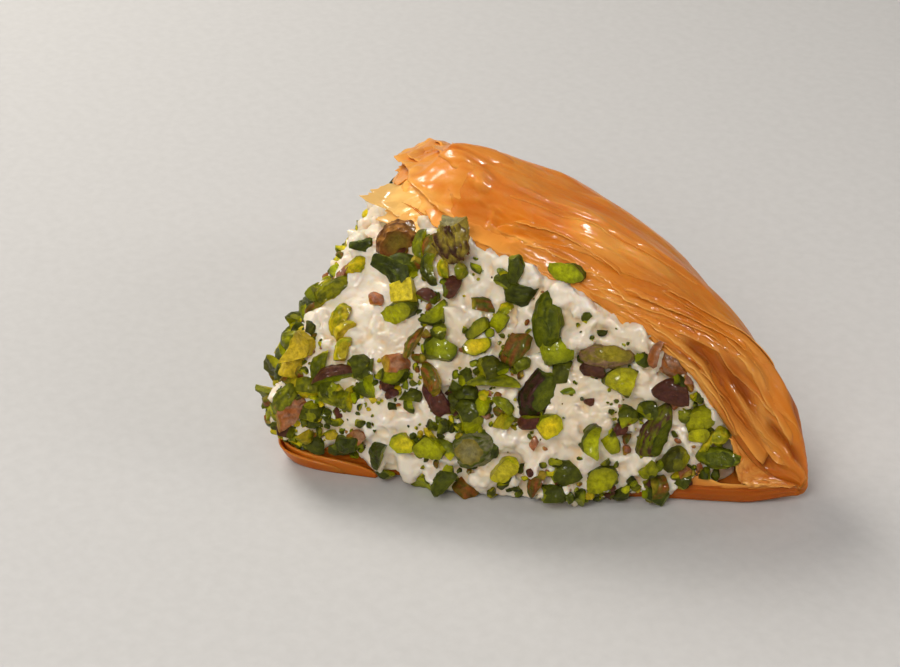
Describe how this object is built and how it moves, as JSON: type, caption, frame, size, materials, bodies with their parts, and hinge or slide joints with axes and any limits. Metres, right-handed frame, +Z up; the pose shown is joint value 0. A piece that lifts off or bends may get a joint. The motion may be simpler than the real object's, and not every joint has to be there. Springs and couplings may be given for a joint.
{
  "type": "cream-filled phyllo pastry triangle",
  "caption": "Folded triangle of layered, syrup-glazed phyllo with a clotted cream filling bulging from its open sides, studded with pistachio kernels.",
  "frame": {"origin": "centre of the bounding box, on the surface that the pastry rests on", "axes": "+X along the fold towards its right end, +Y from the free corner towards the fold, +Z up"},
  "size_m": [0.129, 0.0818, 0.0551],
  "materials": {
    "phyllo_pastry": "glossy with syrup",
    "cream_filling": "moist, satin",
    "pistachio_half_brown": "satin skin",
    "pistachio_half_standing": "satin",
    "pistachio_half_high": "satin",
    "pistachio_half_middle": "satin",
    "pistachio_half_olive": "satin",
    "pistachio_half_long": "satin",
    "pistachio_half_end": "satin",
    "pistachio_round_low": "satin"
  },
  "bodies": {
    "root": {"phyllo_pastry": "phyllo_pastry", "cream_filling": "cream_filling", "pistachio_half_brown": "pistachio_half_brown", "pistachio_half_standing": "pistachio_half_standing", "pistachio_half_high": "pistachio_half_high", "pistachio_half_middle": "pistachio_half_middle", "pistachio_half_olive": "pistachio_half_olive", "pistachio_half_long": "pistachio_half_long", "pistachio_half_end": "pistachio_half_end", "pistachio_round_low": "pistachio_round_low"}
  },
  "joints": []
}
